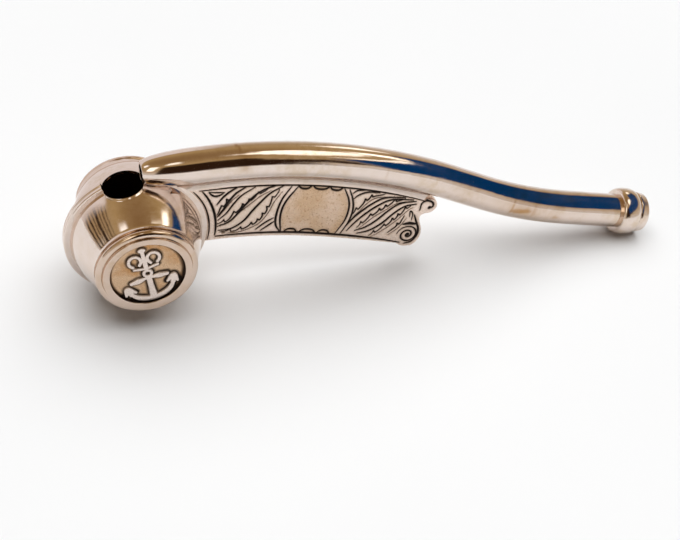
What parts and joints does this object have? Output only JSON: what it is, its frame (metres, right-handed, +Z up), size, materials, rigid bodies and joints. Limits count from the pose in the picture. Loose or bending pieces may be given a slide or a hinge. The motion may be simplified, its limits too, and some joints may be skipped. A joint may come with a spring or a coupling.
{
  "type": "boatswain's call",
  "caption": "Boatswain's call: slim curved metal blowing tube over a hollow round buoy with a top window, joined by an engraved keel plate with two scrolls.",
  "frame": {"origin": "centre of the bounding box's base, on the surface that the buoy's band and the mouthpiece bead stand on", "axes": "+Z up, +X from the buoy towards the mouthpiece, +Y towards the far cap of the buoy; the plane y = 0 is the call's plane of symmetry"},
  "size_m": [0.1214, 0.0244, 0.0315],
  "materials": {
    "polished_plate": "bright nickel plate over brass, hand polished, with fine wipe marks",
    "engraved_plate": "nickel plate engraved with scrolls, dark oxide left in the cuts, warm lustre",
    "antiqued_plate": "embossed nickel plate, antiqued dark in the recesses and tarnished brown on the field"
  },
  "bodies": {
    "root": {"gun_tube": "polished_plate", "mouthpiece_bead": "polished_plate", "mouthpiece_lip": "polished_plate", "gun_saddle": "polished_plate", "keel_plate": "engraved_plate", "buoy_band": "polished_plate", "near_shell": "polished_plate", "far_shell": "polished_plate", "near_cap_rim": "polished_plate", "far_cap_rim": "polished_plate", "near_medallion": "antiqued_plate", "far_medallion": "antiqued_plate"}
  },
  "joints": []
}
